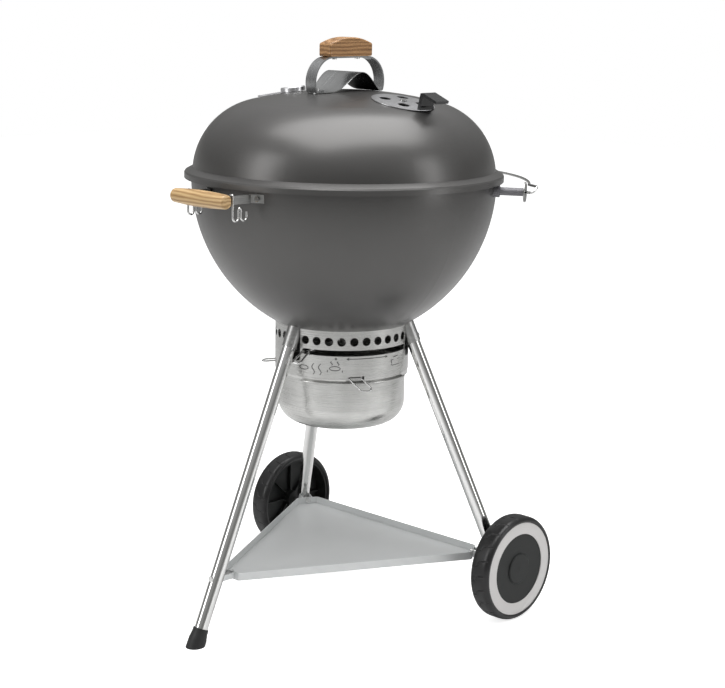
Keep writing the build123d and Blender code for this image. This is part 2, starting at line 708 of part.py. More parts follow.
def shelf_screw_hole(side):
    start, end = shelf_screw_line(side)
    return rod(start - (end - start) * 0.1, end + (end - start) * 0.2, 2.6)


def shelf_screws():
    screws = []
    for side in LEG_AZIMUTHS:
        start, end = shelf_screw_line(side)
        out = (end - start).normalized()
        head = rod(end - out * 0.2, end + out * 2.6, 5.0) - rod(*leg_line(side), LEG_RADIUS + 0.05)
        nut = rod(start + out * 0.2, start + out * 4.2, 4.6)
        screws.append(head + rod(start, end, 2.5) + nut)
    return Compound(children=screws)


# ---------------------------------------------------------------- ash ring and pot
def slot_cut():
    """The lever's slot, and the same slot's ends rounded."""
    inner, outer = RING_RADIUS - 8, RING_RADIUS + 5
    mouth = Pos(0, 0, SLOT_Z) * (Cylinder(outer, SLOT_HEIGHT) - Cylinder(inner, 2 * SLOT_HEIGHT))
    low, high = polar(3 * outer, -SLOT_HALF_ANGLE), polar(3 * outer, SLOT_HALF_ANGLE)
    wedge = make_face(Polyline((0, 0), (low.X, low.Y), (5 * outer, 0), (high.X, high.Y), close=True))
    mouth = mouth & extrude(wedge, SLOT_Z + SLOT_HEIGHT)
    for angle in (-SLOT_HALF_ANGLE, SLOT_HALF_ANGLE):
        mouth = mouth + rod(polar(inner, angle, SLOT_Z), polar(outer, angle, SLOT_Z), SLOT_HEIGHT / 2)
    return turned(mouth, SLOT_MIDDLE)


def ash_ring():
    """Rolled and pressed collar under the bowl, notched for the three sockets."""
    wall = spun(
        (RING_RADIUS - RING_SHEET, RING_TOP_Z + 8),
        (RING_RADIUS, RING_TOP_Z + 8),
        (RING_RADIUS, RING_BOTTOM_Z + 9),
        (RING_RADIUS - 1.0, RING_BOTTOM_Z + 5),
        (RING_RADIUS - 1.0, RING_BOTTOM_Z),
        (RING_RADIUS - 1.0 - RING_SHEET, RING_BOTTOM_Z),
        (RING_RADIUS - 1.0 - RING_SHEET, RING_BOTTOM_Z + 5),
        (RING_RADIUS - RING_SHEET, RING_BOTTOM_Z + 9),
    )
    wall = wall - bowl_body(-0.05)
    for azimuth in LEG_AZIMUTHS.values():
        notch = Rotation(90, 0, 0) * extrude(fillet(make_face(Polyline(
            (-SOCKET_NOTCH, LEG_TOP_Z - 26), (SOCKET_NOTCH, LEG_TOP_Z - 26),
            (SOCKET_NOTCH, LEG_TOP_Z + 94), (-SOCKET_NOTCH, LEG_TOP_Z + 94), close=True
        )).vertices().sort_by(Axis.Y)[:2], 8), -200)
        wall = wall - turned(Rotation(0, 0, -90) * notch, azimuth)
    for middle in (SLOT_MIDDLE, SLOT_MIDDLE + 120, SLOT_MIDDLE + 240):
        for k in range(RING_HOLES):
            angle = middle + (k - (RING_HOLES - 1) / 2) * RING_HOLE_STEP
            wall = wall - rod(
                polar(RING_RADIUS - 38, angle, RING_HOLE_Z), polar(RING_RADIUS + 22, angle, RING_HOLE_Z), RING_HOLE_RADIUS
            )
    wall = wall - slot_cut()
    for azimuth in LATCH_AZIMUTHS:
        slot = Pos(RING_RADIUS, 0, LATCH_Z - 2) * Box(12, LATCH_SLOT_WIDTH, LATCH_SLOT_HEIGHT)
        wall = wall - turned(slot, azimuth)
    return wall


def ash_pot():
    """Deep-drawn pot with a rolled rim that stands inside the ring."""
    depth = POT_TOP_Z - POT_BOTTOM_Z
    body = Pos(0, 0, POT_BOTTOM_Z) * Cylinder(POT_RADIUS, depth, align=ON_BASE)
    body = fillet(body.edges().group_by(Axis.Z)[0], POT_CORNER)
    hollow = Pos(0, 0, POT_BOTTOM_Z + RING_SHEET) * Cylinder(
        POT_RADIUS - RING_SHEET, depth - RING_SHEET, align=ON_BASE
    )
    hollow = fillet(hollow.edges().group_by(Axis.Z)[0], POT_CORNER - RING_SHEET)
    rim = Pos(0, 0, POT_TOP_Z - 1.5) * Torus(POT_RADIUS - 0.5, POT_RIM / 2)
    return body - hollow + rim


def latch(index):
    """Wire loop hinged in a slot of the ring: it holds the pot up."""
    half = LATCH_WIDTH / 2
    x = RING_RADIUS - RING_SHEET - LATCH_WIRE - 0.3
    run = [
        (x, -half + 4, LATCH_Z),
        (x, -half, LATCH_Z),
        (x, -half + LATCH_SLANT, LATCH_Z - LATCH_DROP),
        (x, half + LATCH_SLANT, LATCH_Z - LATCH_DROP),
        (x, half, LATCH_Z),
        (x, half - 4, LATCH_Z),
    ]
    loop = bent_wire(run, [1.8, 6, 6, 1.8], LATCH_WIRE)
    bar = rod((x, -half + 3.5, LATCH_Z), (x, half - 3.5, LATCH_Z), LATCH_WIRE)
    swing = Pos(x, 0, LATCH_Z) * Rotation(0, -LATCH_ANGLES[index], 0) * Pos(-x, 0, -LATCH_Z)
    return turned(swing * (loop + bar), LATCH_AZIMUTHS[index])


# ---------------------------------------------------------------- damper and lever
def blade_body(inset):
    """The bowl's inside surface moved in, for the blades that sweep along it."""
    return bowl_body(SHEET + BLADE_GAP + inset)


def blades():
    """Three blades on one hub, lying on the bottom between hub and vents' ends."""
    skin = blade_body(0) - blade_body(BLADE_SHEET)
    half = math.radians(BLADE_ANGLE / 2)
    reach = BOTTOM_VENT_OUT + 5
    wide = reach * math.tan(half)
    outline = Polyline((8, -7), (reach, -wide), (reach, wide), (8, 7), close=True)
    leaf = Pos(0, 0, BOWL_BOTTOM_Z - 20) * extrude(make_face(outline), 90)
    disc = Pos(0, 0, BOWL_BOTTOM_Z) * Cylinder(20, 20)
    mask = disc
    for k in range(BOTTOM_VENTS):
        mask = mask + turned(leaf, BLADE_REST + 360 / BOTTOM_VENTS * k)
    plates = skin & mask
    return plates - Pos(0, 0, BOWL_BOTTOM_Z) * Cylinder(SHAFT_RADIUS, 60)


def damper_shaft():
    """Shaft through the bottom, with a nut over the blades and a collar below."""
    seat = BOWL_BOTTOM_Z + SHEET + BLADE_GAP + BLADE_SHEET
    shaft_low, collar_low = SLOT_Z - 8, SLOT_Z - 6
    shaft = Pos(0, 0, shaft_low) * Cylinder(SHAFT_RADIUS, seat + 11 - shaft_low, align=ON_BASE)
    nut = Pos(0, 0, seat + 0.4) * extrude(RegularPolygon(9, 6), 6)
    collar = Pos(0, 0, collar_low) * Cylinder(10, BOWL_BOTTOM_Z - 1.2 - collar_low, align=ON_BASE)
    return shaft + nut + collar - turned(lever_bar(), LEVER_AZIMUTH)


def lever_bar():
    return Pos(0, 0, SLOT_Z) * Box(RING_RADIUS - 14, LEVER_WIDTH, LEVER_SHEET, align=FROM_END)


def lever():
    """Flat bar under the bowl that ends in a wire loop outside the slot."""
    half = LEVER_WIDTH / 2
    inner = RING_RADIUS - 24
    bar = lever_bar()
    loop = bent_wire(
        [
            (inner, -half, SLOT_Z),
            (RING_RADIUS + 10, -half, SLOT_Z),
            (LEVER_RADIUS, -half - 2, SLOT_Z - 14),
            (LEVER_RADIUS, half + 2, SLOT_Z - 14),
            (RING_RADIUS + 10, half, SLOT_Z),
            (inner, half, SLOT_Z),
        ],
        [6, 5, 5, 6],
        LEVER_WIRE,
    )
    return turned(bar + loop, LEVER_AZIMUTH)


# ---------------------------------------------------------------- grates
def half_chord(radius, offset_from_middle):
    return math.sqrt(radius**2 - offset_from_middle**2)


def charcoal_grate():
    grate = Pos(0, 0, CHARCOAL_Z) * Torus(CHARCOAL_RADIUS, GRATE_RING_WIRE)
    count = int(CHARCOAL_RADIUS / CHARCOAL_PITCH)
    for k in range(-count, count + 1):
        x = k * CHARCOAL_PITCH
        y = half_chord(CHARCOAL_RADIUS, x)
        grate = grate + rod((x, -y, CHARCOAL_Z + 2.6), (x, y, CHARCOAL_Z + 2.6), GRATE_ROD + 0.6)
    for y in (-90, 90):
        x = half_chord(CHARCOAL_RADIUS, y)
        grate = grate + rod((-x, y, CHARCOAL_Z - 1), (x, y, CHARCOAL_Z - 1), GRATE_RING_WIRE)
    return grate


def cooking_grate_middle():
    """Fixed middle of the hinged cooking grate, between two cross bars."""
    bar_y = GRATE_HINGE_Y
    x_end = half_chord(GRATE_RADIUS, bar_y)
    ring = Pos(0, 0, GRATE_Z) * Torus(GRATE_RADIUS, GRATE_RING_WIRE)
    grate = ring & (Pos(0, 0, GRATE_Z) * Box(600, 2 * bar_y, 20))
    for side in (-1, 1):
        grate = grate + rod((-x_end, side * bar_y, GRATE_Z), (x_end, side * bar_y, GRATE_Z), GRATE_RING_WIRE)
    count = int((GRATE_RADIUS - 4) / GRATE_PITCH)
    for k in range(-count, count + 1):
        x = k * GRATE_PITCH
        y = min(bar_y - 0.5, half_chord(GRATE_RADIUS, x))
        grate = grate + rod((x, -y, GRATE_Z + 2.2), (x, y, GRATE_Z + 2.2), GRATE_ROD)
    return grate


def cooking_grate_flap(side):
    """End section that swings up, with two eyes round the middle's cross bar."""
    bar_y = GRATE_HINGE_Y + 12
    x_end = half_chord(GRATE_RADIUS, bar_y)
    ring = Pos(0, 0, GRATE_Z) * Torus(GRATE_RADIUS, GRATE_RING_WIRE)
    flap = ring & (Pos(0, bar_y, GRATE_Z) * Box(600, 300, 20, align=(Align.CENTER, Align.MIN, Align.CENTER)))
    flap = flap + rod((-x_end, bar_y, GRATE_Z), (x_end, bar_y, GRATE_Z), GRATE_RING_WIRE)
    count = int(x_end / GRATE_PITCH)
    for k in range(-count, count + 1):
        x = k * GRATE_PITCH
        y = half_chord(GRATE_RADIUS, x)
        flap = flap + rod((x, bar_y, GRATE_Z + 2.2), (x, y, GRATE_Z + 2.2), GRATE_ROD)
    for x in (-GRATE_EYE_X, GRATE_EYE_X):
        eye = Pos(x, GRATE_HINGE_Y, GRATE_Z) * Rotation(0, 90, 0) * Cylinder(6.2, 8)
        link = rod((x, GRATE_HINGE_Y + 4, GRATE_Z), (x, bar_y, GRATE_Z), 3.0)
        flap = flap + eye + link
    flap = flap - rod((-300, GRATE_HINGE_Y, GRATE_Z), (300, GRATE_HINGE_Y, GRATE_Z), GRATE_RING_WIRE + 0.09)
    return flap if side > 0 else turned(flap, 180)


def brackets(z, ledge_radius, azimuths):
    """Bent strips welded inside the bowl, each with a ledge at its top."""
    wall = bowl_radius_at(z, SHEET)
    parts = []
    for azimuth in azimuths:
        ledge = Pos(ledge_radius, 0, z) * Box(wall - ledge_radius + 6, 22, 3, align=(Align.MIN, Align.CENTER, Align.MAX))
        brace = Pos(0, 0, z) * (Plane.XZ * make_face(Polyline(
            (ledge_radius, -3), (ledge_radius + 4, -3), (wall + 2, -3 - (wall - ledge_radius)),
            (wall - 2, -3 - (wall - ledge_radius)), close=True
        )))
        piece = ledge + extrude(brace, 11, both=True)
        parts.append(turned(piece, azimuth) & bowl_body(SHEET))
    return Compound(children=parts)


# ---------------------------------------------------------------- side handle
def side_handle_strap():
    """Flat strap bent into a U round the grip, its ends laid on the bowl."""
    x = HANDLE_ARM_X
    y_back = HANDLE_Y + HANDLE_GRIP_RADIUS - 3
    root_y = -math.sqrt(bowl_radius_at(HANDLE_Z)**2 - x**2)
    bar = HANDLE_STRAP
    outline = Polyline(
        (-x - 22, root_y + 8), (-x, root_y - 4), (-x, y_back),
        (x, y_back), (x, root_y - 4), (x + 22, root_y + 8),
        (x + 22, root_y + 8 - bar), (x + bar, root_y - 5 - bar), (x + bar, y_back - bar),
        (-x - bar, y_back - bar), (-x - bar, root_y - 5 - bar), (-x - 22, root_y + 8 - bar), close=True,
    )
    strap = Pos(0, 0, HANDLE_Z - HANDLE_STRAP_HEIGHT / 2) * extrude(make_face(outline), HANDLE_STRAP_HEIGHT)
    strap = strap - bowl_body(0)
    for sign in (-1, 1):
        strap = strap - handle_rivet_axis(sign, 3.0)
    return strap - handle_screw_axes(2.7)


def handle_rivet_axis(sign, radius):
    x = sign * (HANDLE_ARM_X + 13)
    y = -math.sqrt(bowl_radius_at(HANDLE_Z)**2 - x**2)
    out = Vector(x, y, 0).normalized()
    foot = Vector(x, y, HANDLE_Z)
    return rod(foot - out * 2.5, foot + out * 8, radius)


def side_handle_rivets():
    rivets = []
    for sign in (-1, 1):
        x = sign * (HANDLE_ARM_X + 13)
        y = -math.sqrt(bowl_radius_at(HANDLE_Z)**2 - x**2)
        out = Vector(x, y, 0).normalized()
        foot = Vector(x, y, HANDLE_Z)
        shank = rod(foot - out * 0.2, foot + out * 8.0, 2.9)
        rivets.append(shank + rod(foot + out * 7.5, foot + out * 9.5, 5.0))
    return Compound(children=[rivet - bowl_body(0) for rivet in rivets])


def handle_screw_axes(radius):
    x = HANDLE_ARM_X - 22
    y_back = HANDLE_Y + HANDLE_GRIP_RADIUS
    return rod((-x, y_back + 2, HANDLE_Z), (-x, HANDLE_Y - 6, HANDLE_Z), radius) + rod(
        (x, y_back + 2, HANDLE_Z), (x, HANDLE_Y - 6, HANDLE_Z), radius
    )


def side_handle_grip():
    """Turned wooden grip, fuller in the middle, flat where the strap backs it."""
    half, end = HANDLE_LENGTH / 2 + 1.5, HANDLE_END_RADIUS
    outline = [
        Line((0, -half), (end - 4, -half)),
        ThreePointArc((end - 4, -half), (end - 1.2, -half + 1.2), (end, -half + 4)),
        ThreePointArc((end, -half + 4), (HANDLE_GRIP_RADIUS, 0), (end, half - 4)),
        ThreePointArc((end, half - 4), (end - 1.2, half - 1.2), (end - 4, half)),
        Line((end - 4, half), (0, half)),
        Line((0, half), (0, -half)),
    ]
    grip = Rotation(0, 90, 0) * revolve(Plane.XZ * make_face(outline), Axis.Z)
    grip = Pos(0, HANDLE_Y, HANDLE_Z) * grip
    y_back = HANDLE_Y + HANDLE_GRIP_RADIUS - 3 - HANDLE_STRAP
    behind = Pos(0, y_back, HANDLE_Z) * Box(400, 60, 60, align=(Align.CENTER, Align.MIN, Align.CENTER))
    return grip - behind - handle_screw_axes(2.2)


def side_handle_screws():
    x_place = HANDLE_ARM_X - 22
    y_back = HANDLE_Y + HANDLE_GRIP_RADIUS - 3
    screws = []
    for x in (-x_place, x_place):
        head = rod((x, y_back, HANDLE_Z), (x, y_back + 2.2, HANDLE_Z), 4.6)
        screws.append(head + rod((x, y_back + 1, HANDLE_Z), (x, HANDLE_Y - 5, HANDLE_Z), 2.1))
    return Compound(children=screws)


def tool_hook(sign):
    """Wire with two hooks, hung over one arm of the strap."""
    x = sign * (HANDLE_ARM_X + HANDLE_STRAP + HOOK_WIRE + 0.1)
    inside = sign * (HANDLE_ARM_X - HOOK_WIRE - 0.1)
    top = HANDLE_Z + HANDLE_STRAP_HEIGHT / 2 + HOOK_WIRE + 0.1
    low = HANDLE_Z - 36
    y = HANDLE_Y + 22
    run = [
        (inside, y, HANDLE_Z - 2), (inside, y, top), (x, y, top), (x, y, low), (x, y + 13, low),
        (x, y + 13, HANDLE_Z - 14), (x, y + 19, HANDLE_Z - 14), (x, y + 19, low),
        (x, y + 32, low), (x, y + 32, low + 15),
    ]
    return bent_wire(run, [2.2, 2.2, 6.2, 6.2, 2.9, 2.9, 6.2, 6.2], HOOK_WIRE)


# ---------------------------------------------------------------- lid rest
def rest_tube(azimuth):
    """Painted spacer tube between the bowl and the outer flange."""
    start = polar(BOWL_RADIUS - 8, azimuth, REST_Z)
    end = polar(REST_FLANGE_R - REST_FLANGE_SHEET, azimuth, REST_Z)
    collar = rod(start, polar(BOWL_RADIUS + 9, azimuth, REST_Z), 11.5)
    tube = rod(start, end, REST_TUBE_RADIUS) + collar
    return tube - bowl_body(0) - rest_bore(azimuth)


def rest_bore(azimuth):
    return rod(polar(REST_FLANGE_R - 14, azimuth, REST_Z), polar(REST_FLANGE_R + 5, azimuth, REST_Z), 5.4)


def rest_flange(azimuth):
    """Round flange that the wire's end passes through."""
    inner = polar(REST_FLANGE_R - REST_FLANGE_SHEET, azimuth, REST_Z)
    face = rod(inner, polar(REST_FLANGE_R, azimuth, REST_Z), REST_FLANGE_RADIUS)
    return face - rest_bore(azimuth)


def hoop_half_points():
    """Route of the wire from its pivot end to the middle of the hoop."""
    pivot = polar(REST_FLANGE_R, REST_AZIMUTH, REST_Z)
    first = polar(HOOP_RADIUS, REST_AZIMUTH + 7, HOOP_Z) - polar(12, REST_AZIMUTH + 97)
    return [
        (pivot.X - 4, pivot.Y, REST_Z),
        (pivot.X + 16, pivot.Y, REST_Z),
        (pivot.X + 17, pivot.Y + 13, HOOP_Z),
        (first.X, first.Y, HOOP_Z),
    ]


def lid_rest_hoop():
    """Wire hoop that swings up from the back of the bowl to hold the lid."""
    right = hoop_half_points()
    start_angle = REST_AZIMUTH + 7
    steps = 8
    arc = [polar(HOOP_RADIUS / math.cos(math.radians((90 - start_angle) / steps)), a, HOOP_Z) for a in
           [start_angle + (k + 0.5) * (180 - 2 * start_angle) / steps for k in range(steps)]]
    points = [Vector(*p) for p in right] + arc + [Vector(-p[0], p[1], p[2]) for p in reversed(right)]
    bends = [6, 6, 10] + [0.94 * HOOP_RADIUS] * steps + [10, 6, 6]
    return bent_wire(points, bends, HOOP_WIRE)


# ---------------------------------------------------------------- wheels
def wheel_side(sign, shape):
    """Place a wheel piece, modelled about Z with its outer face up, on one end of the axle."""
    place = Pos(sign * WHEEL_MIDDLE_X, AXLE_Y, WHEEL_RADIUS) * Rotation(0, sign * 90, 0)
    return place * shape


def tyre():
    half, inner, outer = WHEEL_WIDTH / 2, WHITE_RING_OUT, WHEEL_RADIUS
    return spun(
        (inner, -half + 3), (inner + 3, -half), (outer - 6, -half), (outer - 1.5, -half + 5), (outer, -half + 11),
        (outer, half - 11), (outer - 1.5, half - 5), (outer - 6, half), (inner + 3, half), (inner, half - 3),
    )


def white_ring():
    low, high = WHEEL_WIDTH / 2 - 5, WHEEL_WIDTH / 2 - 1.5
    outer = WHITE_RING_OUT - 0.02
    return spun((WHITE_RING_IN, low), (outer, low), (outer, high), (WHITE_RING_IN, high))


def wheel_hub():
    """Moulded wheel: rim, outer web, ribs on the inner side and a bored boss."""
    half = WHEEL_WIDTH / 2
    rim_in, rim_out, web_out = WHITE_RING_OUT - 5, WHITE_RING_OUT - 0.02, WHITE_RING_IN - 0.02
    rim = spun(
        (rim_in, -half + 3), (rim_out, -half + 3), (rim_out, half - 5.02), (web_out, half - 5.02),
        (web_out, half - 3), (HUB_CAP_RADIUS, half - 3), (HUB_CAP_RADIUS, half - 7), (BOSS_RADIUS, half - 7),
        (BOSS_RADIUS, half - 10), (rim_in, half - 10),
    )
    boss = Pos(0, 0, -8) * Cylinder(BOSS_RADIUS, half - 7 + 8, align=ON_BASE)
    hub = rim + boss
    for k in range(8):
        rib = Pos(BOSS_RADIUS - 2, 0, 2) * Box(WHITE_RING_OUT - 3 - BOSS_RADIUS, 3, half - 12, align=FROM_END_UP)
        hub = hub + turned(rib, 45 * k)
    return hub - Cylinder(AXLE_RADIUS + RUNNING_FIT, 80)


def hub_cap():
    """Pushed-on cap that hides the axle's end."""
    half = WHEEL_WIDTH / 2
    return spun((0, half - 6.9), (HUB_CAP_RADIUS - 0.02, half - 6.9), (HUB_CAP_RADIUS - 0.02, half - 1.5),
                (HUB_CAP_RADIUS - 2, half), (0, half + 0.6))


# ---------------------------------------------------------------- nodes
def all_nodes():
    nodes = {
        "bowl": bowl(),
        "cooking_grate_brackets": brackets(GRATE_Z - GRATE_RING_WIRE, GRATE_RADIUS - LEDGE_WIDTH, (45, 135, 225, 315)),
        "charcoal_grate_brackets": brackets(CHARCOAL_Z - GRATE_RING_WIRE, CHARCOAL_RADIUS - LEDGE_WIDTH + 2, (0, 90, 180, 270)),
        "charcoal_grate": charcoal_grate(),
        "cooking_grate_middle": cooking_grate_middle(),
        "cooking_grate_flap_front": cooking_grate_flap(-1),
        "cooking_grate_flap_back": cooking_grate_flap(1),
        "ash_ring": ash_ring(),
        "ash_pot": ash_pot(),
        "damper_blades": blades(),
        "damper_shaft": damper_shaft(),
        "damper_lever": lever(),
        "leg_sockets": Compound(children=[leg_socket(side) for side in LEG_AZIMUTHS]),
        "snap_buttons": snap_buttons(),
        "foot_cap": foot_cap(),
        "axle": axle(),
        "shelf": shelf(),
        "shelf_screws": shelf_screws(),
        "side_handle_strap": side_handle_strap(),
        "side_handle_rivets": side_handle_rivets(),
        "side_handle_grip": side_handle_grip(),
        "side_handle_screws": side_handle_screws(),
        "tool_hook_right": tool_hook(1),
        "tool_hook_left": tool_hook(-1),
        "lid_rest_hoop": lid_rest_hoop(),
        "lid": lid(),
        "lid_strap": lid_strap(),
        "lid_grip": lid_grip(),
        "lid_grip_screws": lid_grip_screws(),
        "heat_shield": heat_shield(),
        "shield_rivets": shield_rivets(),
        "vent_disc": vent_disc(),
        "vent_rivet": vent_rivet(),
        "vent_tab": vent_tab(),
        "thermometer_housing": dial_housing(),
        "thermometer_face": dial_face(),
        "thermometer_stem": dial_stem(),
        "thermometer_needle": dial_needle(),
        "thermometer_lens": dial_lens(),
        "badge_plate": badge_plate(),
    }
    for side in LEG_AZIMUTHS:
        nodes[f"leg_{side}"] = leg(side)
    for index, name in enumerate(("front", "left", "back")):
        nodes[f"pot_latch_{name}"] = latch(index)
    for name, azimuth in (("right", REST_AZIMUTH), ("left", 180 - REST_AZIMUTH)):
        nodes[f"lid_rest_tube_{name}"] = rest_tube(azimuth)
        nodes[f"lid_rest_flange_{name}"] = rest_flange(azimuth)
        nodes[f"axle_bracket_{name}"] = axle_bracket(name)
    for name, sign in (("right", 1), ("left", -1)):
        nodes[f"tyre_{name}"] = wheel_side(sign, tyre())
        nodes[f"white_ring_{name}"] = wheel_side(sign, white_ring())
        nodes[f"wheel_hub_{name}"] = wheel_side(sign, wheel_hub())
        nodes[f"hub_cap_{name}"] = wheel_side(sign, hub_cap())
    return nodes


os.makedirs("parts", exist_ok=True)
for name, shape in all_nodes().items():
    export_step(shape, f"parts/{name}.step")
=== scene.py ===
import bpy
import math
import numpy as np
from mathutils import Matrix, Vector


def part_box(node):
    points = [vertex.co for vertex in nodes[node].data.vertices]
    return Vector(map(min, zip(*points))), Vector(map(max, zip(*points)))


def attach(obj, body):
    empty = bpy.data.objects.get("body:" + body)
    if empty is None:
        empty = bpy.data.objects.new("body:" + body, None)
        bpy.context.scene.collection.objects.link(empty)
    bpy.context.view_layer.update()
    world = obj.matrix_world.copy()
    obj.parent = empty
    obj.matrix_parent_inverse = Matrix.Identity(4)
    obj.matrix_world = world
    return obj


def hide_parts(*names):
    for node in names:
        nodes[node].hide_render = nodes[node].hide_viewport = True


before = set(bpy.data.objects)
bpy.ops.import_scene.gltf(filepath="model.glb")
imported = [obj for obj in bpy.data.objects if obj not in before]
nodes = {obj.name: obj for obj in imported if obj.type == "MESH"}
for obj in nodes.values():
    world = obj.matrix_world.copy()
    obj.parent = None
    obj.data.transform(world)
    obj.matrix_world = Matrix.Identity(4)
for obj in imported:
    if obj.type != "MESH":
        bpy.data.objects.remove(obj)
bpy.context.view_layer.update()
MM = 0.001

# ---------------------------------------- camera, floor and light
# The kettle stands on a pale seamless floor, seen from a little above the rim, three steps away.
# One large soft box hangs over it, a second one lights it from the left and a weaker one from the right.
EYE_AZIMUTH = math.radians(44.33)
EYE_AWAY = 3.159
EYE_HEIGHT = 1.1767
LOOK_TURN = math.radians(-0.72)
LOOK_DOWN = math.radians(11.86)
LOOK_ROLL = math.radians(0.96)
LENS_MM = 83.34

look = EYE_AZIMUTH + LOOK_TURN
flat = math.cos(LOOK_DOWN)
ahead = Vector((-math.sin(look) * flat, math.cos(look) * flat, -math.sin(LOOK_DOWN)))
level = Vector((math.cos(look), math.sin(look), 0))
above = level.cross(ahead)
right = level * math.cos(LOOK_ROLL) + above * math.sin(LOOK_ROLL)
upward = above * math.cos(LOOK_ROLL) - level * math.sin(LOOK_ROLL)
camera = bpy.data.objects.new("camera", bpy.data.cameras.new("camera"))
bpy.context.scene.collection.objects.link(camera)
turn = Matrix((right, upward, -ahead)).transposed()
place = Vector((EYE_AWAY * math.sin(EYE_AZIMUTH), -EYE_AWAY * math.cos(EYE_AZIMUTH), EYE_HEIGHT))
camera.matrix_world = Matrix.Translation(place) @ turn.to_4x4()
camera.data.lens = LENS_MM
camera.data.sensor_width = 36
bpy.context.scene.camera = camera
bpy.context.scene.view_settings.view_transform = "Standard"


def tone(code):
    """Linear colour of an sRGB hex code."""
    values = [int(code[i:i + 2], 16) / 255 for i in (0, 2, 4)]
    return tuple(v / 12.92 if v <= 0.04045 else ((v + 0.055) / 1.055) ** 2.4 for v in values) + (1.0,)


def add(tree, kind, inputs=(), **settings):
    """Adds a node: settings are its own options, inputs are pairs of socket and value, or socket and link."""
    made = tree.nodes.new(kind)
    for name, value in settings.items():
        setattr(made, name, value)
    for socket, value in inputs:
        if isinstance(value, bpy.types.NodeSocket):
            tree.links.new(value, made.inputs[socket])
        else:
            made.inputs[socket].default_value = value
    return made


def start_material(name, **finish):
    """A material whose surface shader has the given finish; returns material, node tree and shader."""
    made = bpy.data.materials.new(name)
    made.use_nodes = True
    surface = made.node_tree.nodes["Principled BSDF"]
    for socket, value in finish.items():
        surface.inputs[socket.replace("_", " ")].default_value = value
    return made, made.node_tree, surface


def soft_box(name, position, target, size, power):
    """A rectangular lamp at position, turned to target; size in metres, power in watts."""
    lamp = bpy.data.lights.new(name, "AREA")
    lamp.shape = "RECTANGLE"
    lamp.size, lamp.size_y = size
    lamp.energy = power
    holder = bpy.data.objects.new(name, lamp)
    holder.rotation_euler = (Vector(target) - Vector(position)).to_track_quat("-Z", "Y").to_euler()
    holder.location = position
    bpy.context.scene.collection.objects.link(holder)


def from_eye(rightwards, towards, height):
    """A point told from where the camera stands: to the right, towards the camera, and up."""
    near = Vector((math.sin(look), -math.cos(look), 0))
    return tuple(level * rightwards + near * towards + Vector((0, 0, height)))


soft_box("top_box", from_eye(0.1, 0.2, 2.7), from_eye(0, 0, 0.9), size=(2.6, 1.9), power=62)
soft_box("left_box", from_eye(-2.2, 1.2, 1.5), from_eye(0, 0, 0.7), size=(0.9, 1.8), power=18)
soft_box("right_box", from_eye(2.3, 1.0, 1.3), from_eye(0, 0, 0.6), size=(0.6, 1.8), power=12)

world = bpy.data.worlds.new("studio")
world.use_nodes = True
bpy.context.scene.world = world
sky = world.node_tree
path = add(sky, "ShaderNodeLightPath")
direction = add(sky, "ShaderNodeTexCoord")
split = add(sky, "ShaderNodeSeparateXYZ", [("Vector", direction.outputs["Generated"])])
walls = add(sky, "ShaderNodeValToRGB", [("Fac", split.outputs["Z"])])
walls.color_ramp.elements[0].position = 0.0
walls.color_ramp.elements[0].color = tone("c8c8c6")
walls.color_ramp.elements[1].position = 0.75
walls.color_ramp.elements[1].color = tone("ffffff")
dim = walls.color_ramp.elements.new(0.12)
dim.color = tone("8c8c8a")
reflected = add(sky, "ShaderNodeBackground", [("Color", walls.outputs["Color"]), ("Strength", 0.62)])
seen = add(sky, "ShaderNodeBackground", [("Color", tone("ffffff")), ("Strength", 1.0)])
mixed = add(sky, "ShaderNodeMixShader", [
    ("Fac", path.outputs["Is Camera Ray"]),
    (1, reflected.outputs["Background"]), (2, seen.outputs["Background"])])
sky.links.new(mixed.outputs["Shader"], sky.nodes["World Output"].inputs["Surface"])

floor_mesh = bpy.data.meshes.new("floor")
FLOOR = 9.0
corners = [(-FLOOR, -FLOOR, 0), (FLOOR, -FLOOR, 0), (FLOOR, FLOOR, 0), (-FLOOR, FLOOR, 0)]
floor_mesh.from_pydata(corners, [], [(0, 1, 2, 3)])
floor = bpy.data.objects.new("floor", floor_mesh)
bpy.context.scene.collection.objects.link(floor)
FLOOR_GLOW = 0.75
paper, tree, surface = start_material(
    "studio_paper", Base_Color=tone("ececec"), Roughness=0.9, Emission_Color=tone("ffffff"))
path = add(tree, "ShaderNodeLightPath")
glow = add(tree, "ShaderNodeMath", [(0, path.outputs["Is Camera Ray"]), (1, FLOOR_GLOW)], operation="MULTIPLY")
tree.links.new(glow.outputs["Value"], surface.inputs["Emission Strength"])
floor_mesh.materials.append(paper)


# ---------------------------------------- bowl and lid: porcelain enamel on steel
# Bowl and lid are pressed from 1.5 mm steel and dipped in a warm grey enamel, fired glossy and slightly rippled.
# The eye sees a soft broad sheen with a faint orange peel, finer than 3 mm.
def coat(names, material):
    """Gives each named CAD node this one material."""
    for name in names:
        nodes[name].data.materials.clear()
        nodes[name].data.materials.append(material)


def own_position(tree, scale=(1, 1, 1)):
    """Object coordinates stretched by scale: a large factor makes the pattern fine along that axis."""
    here = add(tree, "ShaderNodeTexCoord")
    stretched = add(tree, "ShaderNodeMapping", [("Vector", here.outputs["Object"]), ("Scale", scale)])
    return stretched.outputs["Vector"]


def noise(tree, waves, detail, stretch=(1, 1, 1)):
    """A cloudy pattern from 0 to 1 with this many waves per metre, stretched as own_position says."""
    place = own_position(tree, stretch)
    made = add(tree, "ShaderNodeTexNoise", [("Vector", place), ("Scale", waves), ("Detail", detail)])
    return made.outputs["Fac"]


def blend_tones(tree, surface, pattern, first, second):
    """Colours the surface between two sRGB codes by a pattern."""
    shade = add(tree, "ShaderNodeMix", [
        ("Factor", pattern), ("A", tone(first)), ("B", tone(second))], data_type="RGBA")
    tree.links.new(shade.outputs["Result"], surface.inputs["Base Color"])


